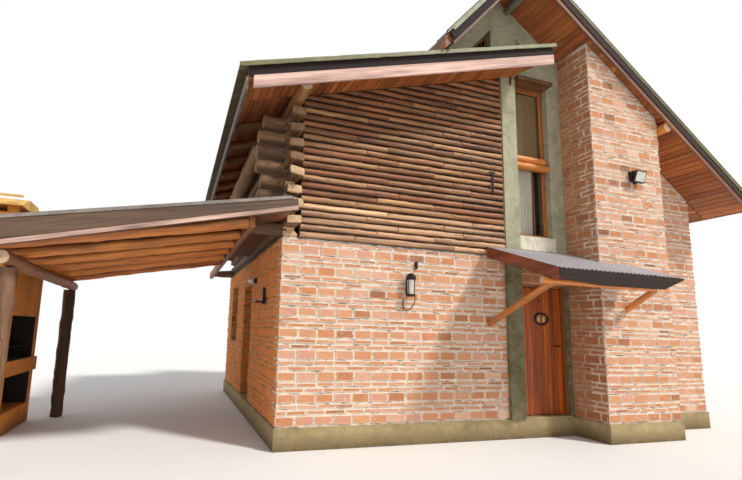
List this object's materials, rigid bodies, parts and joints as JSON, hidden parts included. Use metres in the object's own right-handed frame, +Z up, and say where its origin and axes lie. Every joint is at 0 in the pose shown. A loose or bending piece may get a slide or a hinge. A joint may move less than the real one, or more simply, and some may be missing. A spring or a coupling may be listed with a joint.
{
  "type": "adobe house",
  "caption": "Two-storey brick and log house with a steep gable roof, a low side roof, a timber gallery, an outdoor barbecue and a sheet metal canopy over a hinged front door.",
  "frame": {"origin": "middle of the house's rectangular ground plan, on the ground", "axes": "+X along the front towards the right end, +Y from the front to the rear, +Z up"},
  "size_m": [12.61, 7.505, 7.51],
  "materials": {
    "olive_render": "painted cement render",
    "floor_screed": "smooth red brown cement floor",
    "timber": "oiled boards",
    "brick": "clay brick in cream mortar",
    "column_render": "sage green render",
    "sill_stone": "pale render",
    "varnished_poles": "varnished half round poles",
    "weathered_logs": "weathered logs",
    "roof_sheet": "dark olive painted steel sheet",
    "pale_board": "bleached board",
    "rake_board": "stained board",
    "galvanised_sheet": "weathered galvanised steel",
    "canopy_board": "red brown painted board",
    "window_wood": "varnished joinery",
    "orange_logs": "varnished pine logs",
    "dark_posts": "dark treated logs",
    "ochre_render": "ochre painted render",
    "glass": "clear window glass",
    "black_iron": "black wrought iron",
    "door_wood": "red brown planks"
  },
  "bodies": {
    "house": {"plinth": "olive_render", "ground_floor": "floor_screed", "upper_floor": "timber", "front_wall": "brick", "left_wall_near": "brick", "left_wall_far": "brick", "left_wall_lintel": "brick", "rear_wall": "brick", "right_wall": "brick", "right_front_wall": "brick", "wing_left_wall": "brick", "wing_front_wall": "brick", "wing_right_wall": "brick", "door_pier": "brick", "door_lintel": "brick", "front_column": "column_render", "window_sill": "sill_stone", "window_pier": "column_render", "front_gable": "column_render", "wall_backing": "timber", "wall_poles": "varnished_poles", "left_log_wall": "weathered_logs", "rear_upper_wall": "brick", "shed_deck": "timber", "shed_sheet": "roof_sheet", "shed_boards": "pale_board", "shed_plate_logs": "weathered_logs", "eave_rafters": "weathered_logs", "gable_deck_left": "timber", "gable_deck_right": "timber", "gable_sheet_left": "roof_sheet", "gable_sheet_right": "roof_sheet", "rake_boards": "rake_board", "ridge_log": "weathered_logs", "canopy_sheet": "galvanised_sheet", "canopy_boards": "canopy_board", "canopy_rafters": "window_wood", "canopy_log": "orange_logs", "canopy_braces": "orange_logs", "gallery_posts": "dark_posts", "gallery_beams": "weathered_logs", "gallery_rafters": "orange_logs", "gallery_roof": "timber", "gallery_sheet": "galvanised_sheet", "gallery_boards": "rake_board", "barbecue": "ochre_render", "barbecue_chimney": "ochre_render", "tall_window": "window_wood", "window_head": "timber", "gable_lights": "window_wood", "transom_logs": "orange_logs", "side_windows": "window_wood", "window_glass": "glass", "door_frame": "window_wood", "door_sill": "sill_stone", "frame_hinges": "black_iron", "lanterns": "black_iron"},
    "door": {"door_leaf": "door_wood", "leaf_hinges": "black_iron", "door_handles": "black_iron"}
  },
  "joints": [
    {"name": "front_door_hinge", "type": "hinge", "parent": "house", "child": "door", "pos_m": [-0.022, -2.703, 1.3], "axis": [0, 0, 1], "range_deg": [0, 90]}
  ]
}
